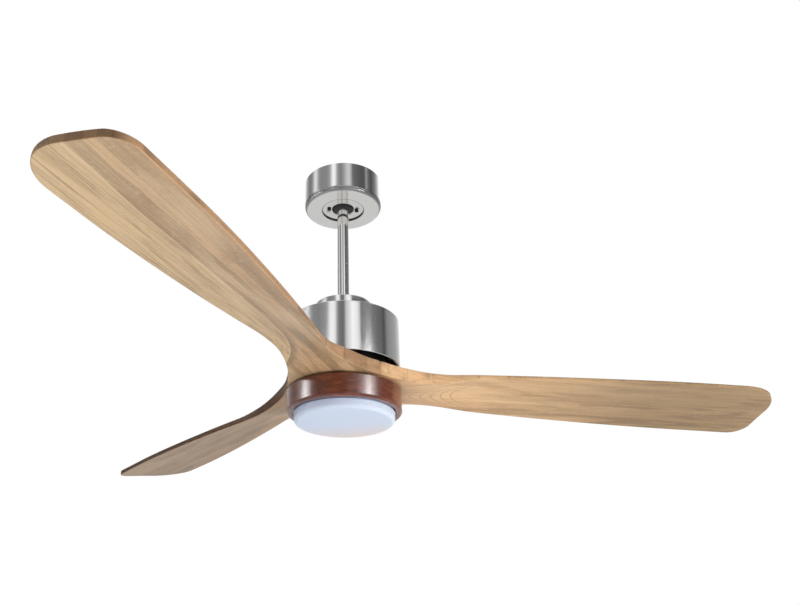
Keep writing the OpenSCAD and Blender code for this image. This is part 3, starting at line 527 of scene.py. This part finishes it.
def carve_blade(turn):
    """A grid is laid along the blade, shaped into its lower face, and extruded up to its upper face."""
    shape = bmesh.new()
    bmesh.ops.create_grid(shape, x_segments=150, y_segments=36, size=0.5)
    straight_share = 0.8
    straight_end = tip_at - lead_corner
    spots = {}
    for vert in shape.verts:
        u, w = vert.co.x + 0.5, vert.co.y + 0.5
        if u < straight_share:
            s = blend(root_at, straight_end, u / straight_share)
        else:
            past = (u - straight_share) / (1 - straight_share)
            s = tip_at - lead_corner * (1 - math.sin(past * math.pi / 2))
        w = 0.5 - 0.5 * math.cos(w * math.pi)
        trail, lead = half_width(s, 1), half_width(s, -1)
        y = blend(trail, -lead, w)
        to_trail = (trail - y) / math.hypot(1, lean(s, 1))
        to_lead = (y + lead) / math.hypot(1, lean(s, -1))
        reach = edge_round * ease(waist_x, waist_x + 0.02, s)
        inset = max(0, reach - min(to_trail, to_lead, tip_at - s))
        lift = reach - math.sqrt(max(0, reach ** 2 - inset ** 2))
        f = (board_edge(s, 1) - y) / (board_edge(s, 1) + board_edge(s, -1))
        vert.co = (s, y, underside(s, f) + lift)
        spots[round(vert.co.x, 7), round(vert.co.y, 7)] = (s, f, lift)
    raised = bmesh.ops.extrude_face_region(shape, geom=shape.faces[:])["geom"]
    for vert in raised:
        if isinstance(vert, bmesh.types.BMVert):
            s, f, lift = spots[round(vert.co.x, 7), round(vert.co.y, 7)]
            vert.co.z = underside(s, f) + thickness(s, f) - lift
    bmesh.ops.remove_doubles(shape, verts=shape.verts, dist=1e-6)
    bmesh.ops.recalc_face_normals(shape, faces=shape.faces)
    bmesh.ops.rotate(shape, verts=shape.verts, matrix=Matrix.Rotation(turn, 3, "Z"))
    return shape


def hub_cutter():
    """The stepped hole in the hub: a shallow seat for the clamp plate and the way for the shaft."""
    shape = bmesh.new()
    seat = plate_edge + plate_gap
    past = 0.01
    steps = [(0, hub_low - past), (seat, hub_low - past), (seat, plate_high),
             (shaft_way, plate_high), (shaft_way, hub_high + past), (0, hub_high + past)]
    verts = [shape.verts.new((radius, 0, z)) for radius, z in steps]
    edges = [shape.edges.new(pair) for pair in zip(verts, verts[1:])]
    bmesh.ops.spin(shape, geom=verts + edges, cent=(0, 0, 0), axis=(0, 0, 1), angle=2 * math.pi,
                   steps=96, use_merge=True)
    bmesh.ops.remove_doubles(shape, verts=shape.verts, dist=1e-6)
    bmesh.ops.recalc_face_normals(shape, faces=shape.faces)
    return shape


def solid(name, shape):
    """An object at the origin from a bmesh, smooth-shaded."""
    data = bpy.data.meshes.new(name)
    shape.to_mesh(data)
    shape.free()
    made = bpy.data.objects.new(name, data)
    bpy.context.collection.objects.link(made)
    data.polygons.foreach_set("use_smooth", [True] * len(data.polygons))
    return made


def cut(piece, tool):
    """Takes the tool's shape out of the piece for good."""
    maker = piece.modifiers.new("cut", "BOOLEAN")
    maker.object, maker.solver, maker.operation = tool, "EXACT", "DIFFERENCE"
    whole = bpy.data.meshes.new_from_object(piece.evaluated_get(bpy.context.evaluated_depsgraph_get()))
    piece.modifiers.clear()
    piece.data = whole
    bpy.data.objects.remove(tool)


def board_wood(name, turn, pale, brown, cream, tip, side_shade, layering, seed):
    """Glued-up hardwood. Staves differ a little in tone and meet in thin glue lines. The carving runs
    out of the top layer along a curved edge, and loops of growth rings show near the root."""
    finish = Finish(name, roughness=0.4, coat_weight=0.2, coat_roughness=0.3)

    def grain(stretch, scale, *more):
        return finish.noise(finish.place(-turn, stretch), scale, *more)

    along, across, _ = finish.axes(finish.place(-turn))
    dark = shade(brown, 0.42)
    # the layer's edge: level along the blade, curling out to the leading edge at the root
    curl = ((along - 0.147) * -21.0).only("EXPONENT").only("MINIMUM", 4.0)
    side = across - (0.005 - 0.043 * curl + along.step(0.6, 0.75) * 0.007)
    top_layer = 1 - side.step(-0.0004, 0.0004)
    below_edge = side.step(0.0, 0.001) * (1 - side.step(0.006, 0.017))
    at_edge = 1 - side.only("ABSOLUTE").step(0.0003, 0.0014)
    # staves 17.5 mm wide
    drift = grain((3, 3, 3), 1.0 + seed, 2.0)
    lane = (across + drift * 0.008 + seed) / 0.0175 + top_layer * 0.37
    tone = finish.node("ShaderNodeTexWhiteNoise", {"noise_dimensions": "1D"}, {
        "W": lane.only("FLOOR") + seed * 7.0})
    tone = tone * (0.3 + 0.5 * layering) + (0.35 - 0.25 * layering)
    glue = (lane.only("FRACT") - 0.5).only("ABSOLUTE").step(0.466, 0.494)
    # growth rings: long lines, wavier patches, pores, and loops that open towards the tip
    rings = grain((0.012, 1, 1), 330.0 + 20 * seed, 3.0, 0.6, 0.4)
    patch = grain((0.12, 1, 1), 34.0 + seed, 4.0, 0.6, 1.4)
    cloud = grain((0.3, 1, 1), 11.0 + seed, 3.0, 0.5, 0.6)
    pores = grain((0.06, 1, 1), 1400.0, 2.0)
    flecks = grain((1, 0.5, 1), 240.0, 2.0)
    loop = across - 0.012 + (cloud - 0.5) * 0.02
    loop = (loop * loop / 0.024 - along + 0.17) / 0.018
    bend = (loop.only("FRACT") - 0.5).only("ABSOLUTE").step(0.41, 0.47)
    bend = bend * (loop + 2.0).step(0.0, 0.3) * (1 - loop.step(3.0, 4.5)) * (1 - along.step(0.22, 0.34))
    # colours, from the broad tones to the fine lines
    warm = finish.mix(tone, shade(brown, 0.84), shade(brown, 1.3))
    gold = finish.mix(tone, pale, shade(pale, 0.9))
    colour = finish.mix(top_layer, warm, finish.mix(layering, warm, gold))
    colour = finish.mix(below_edge * (0.5 * layering), colour, dark)
    colour = finish.mix(patch.step(0.44, 0.66) * (0.62 - 0.26 * layering), colour, dark)
    colour = finish.mix(cloud.step(0.45, 0.7) * 0.5, colour, cream)
    colour = finish.mix(rings.step(0.54, 0.62) * (0.26 + top_layer * (0.2 * layering)), colour, dark)
    colour = finish.mix(pores.step(0.55, 0.7) * 0.24, colour, dark)
    colour = finish.mix(flecks.step(0.54, 0.7) * 0.2, colour, cream)
    colour = finish.mix(glue * (0.3 + 0.25 * layering), colour, dark)
    colour = finish.mix(bend * (0.6 - 0.4 * layering), colour, dark)
    colour = finish.mix(at_edge * (0.34 + 0.2 * layering), colour, cream)
    # painted shade: each blade grows darker towards its tip by a factor of its own, standing in for the
    # light falling off along it
    colour = finish.mix(along.step(0.16, 0.62), colour, tip, "MULTIPLY")
    # the narrow faces: long grain along the blade and end grain at the tip. All of them are darkened by
    # painted shade, by a factor that differs from blade to blade, and the end face at the tip is darker
    # again, partly for its end grain and partly as painted shade
    facing = finish.axes(finish.node("ShaderNodeNewGeometry", output="True Normal"))[2]
    rim_face = 1 - facing.only("ABSOLUTE").step(0.35, 0.8)
    colour = finish.mix(rim_face, colour, side_shade, "MULTIPLY")
    colour = finish.mix(rim_face * along.step(0.735, 0.75), colour, (0.5, 0.44, 0.38, 1), "MULTIPLY")
    return finish.feed(
        base_color=colour,
        roughness=0.38 + rings * 0.16 + rim_face * 0.2,
        normal=finish.bump(rings + glue * -0.6, 0.14, 0.0003))


# The three blades are cut from the same wood. The second blade's darker tones are painted shade, and so
# are each blade's colours for its tip and for its narrow faces.
boards = [
    board_wood("lacquered_board_1", turn=0.0, pale=rgb(216, 178, 136), brown=rgb(204, 166, 126),
               cream=rgb(234, 198, 154), tip=(0.5, 0.52, 0.5, 1), side_shade=(1.0, 0.98, 0.96, 1),
               layering=0.12, seed=0.3),
    board_wood("lacquered_board_2", turn=third, pale=rgb(174, 142, 106), brown=rgb(160, 128, 94),
               cream=rgb(192, 160, 122), tip=(0.86, 0.88, 0.9, 1), side_shade=(0.27, 0.17, 0.09, 1),
               layering=0.25, seed=1.7),
    board_wood("lacquered_board_3", turn=2 * third, pale=rgb(214, 184, 142), brown=rgb(180, 148, 114),
               cream=rgb(226, 200, 162), tip=grey(1), side_shade=(0.82, 0.74, 0.68, 1),
               layering=1.0, seed=2.9)]
for number, board in enumerate(boards):
    blade = solid("carved_blade_%d" % (number + 1), carve_blade(third * number))
    blade.data.materials.append(board.material)
    cut(blade, solid("hub_cutter", hub_cutter()))
    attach(blade, "rotor")
    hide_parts("blade_%d" % (number + 1))


# ---------------------------------------------------------------- light ring and pan
# The ring is a pressed aluminium hoop under a printed walnut film with a gloss topcoat.
# It slips over a white powder-coated pan that carries the LED tray.


def walnut_film():
    finish = Finish("walnut_film", coat_weight=1.0, coat_roughness=0.13)
    streak = finish.noise(finish.place(scale=(0.12, 0.12, 1)), 620.0, 4.0, 0.6, 0.4)
    band = finish.noise(finish.place(scale=(0.25, 0.25, 1)), 85.0, 3.0, 0.55, 1.2)
    pores = finish.noise(finish.place(scale=(0.05, 0.05, 1)), 1500.0, 2.0).step(0.6, 0.72)
    colour = finish.mix(band.step(0.35, 0.65), rgb(92, 38, 18), rgb(126, 60, 32))
    colour = finish.mix(streak.step(0.44, 0.58) * 0.8, colour, rgb(76, 28, 14))
    colour = finish.mix(pores * 0.7, colour, rgb(40, 14, 8))
    return finish.feed(
        base_color=colour,
        roughness=0.32 + streak * 0.15,
        normal=finish.bump(streak, 0.05, 0.0002))


paint(walnut_film(), "light_ring")
paint(moulded("white_powder_coat", rgb(236, 236, 234), 0.4, 420), "light_pan")


# ---------------------------------------------------------------- LED tray
# A bare aluminium tray with a white solder-masked board and rows of small LEDs.


def solder_mask():
    finish = Finish("white_solder_mask", roughness=0.35)
    cells = finish.node("ShaderNodeTexVoronoi", {"feature": "DISTANCE_TO_EDGE"}, {
        "Vector": finish.place(scale=(1, 1, 0.01)), "Scale": 90.0})
    plain = cells.step(0.02, 0.05)
    return finish.feed(base_color=finish.mix(plain, rgb(222, 224, 226), rgb(244, 245, 246)))


def phosphor():
    finish = Finish("phosphor", roughness=0.25)
    grain = finish.noise(finish.place(), 1600.0, 2.0)
    return finish.feed(base_color=finish.mix(grain, rgb(238, 208, 92), rgb(250, 232, 150)))


paint(plated_steel("mill_aluminium", (0.76, 0.77, 0.78), 0.3, 300), "led_tray")
paint(solder_mask(), "led_board")
paint(phosphor(), "led_chips")


# ---------------------------------------------------------------- lens
# One piece of moulded opal acrylic with three bayonet lugs. It has a satin-gloss skin.


def opal():
    """Milky white with a blue cast, painted rosy light on the far side and a faint painted glow."""
    # a faint painted glow: the lens gives off a little bluish light of its own, though the LEDs behind it
    # are not lit
    finish = Finish("opal_acrylic", subsurface_weight=0.3, subsurface_scale=0.02, coat_weight=0.12,
                    coat_roughness=0.3, emission_strength=0.05)
    finish.shader.inputs["Emission Color"].default_value = rgb(210, 220, 248)
    point = finish.place()
    haze = finish.noise(point, 9.0, 2.0)
    x, y, _ = finish.axes(point)
    # painted light: a rosy tint laid on the far side of the lens
    painted_rosy_side = (y + x * 0.4).step(-0.01, 0.1)
    colour = finish.mix(haze, rgb(200, 208, 232), rgb(208, 214, 236))
    colour = finish.mix(painted_rosy_side, colour, rgb(228, 206, 204))
    return finish.feed(base_color=colour, roughness=0.4 + haze * 0.08)


paint(opal(), "lens")
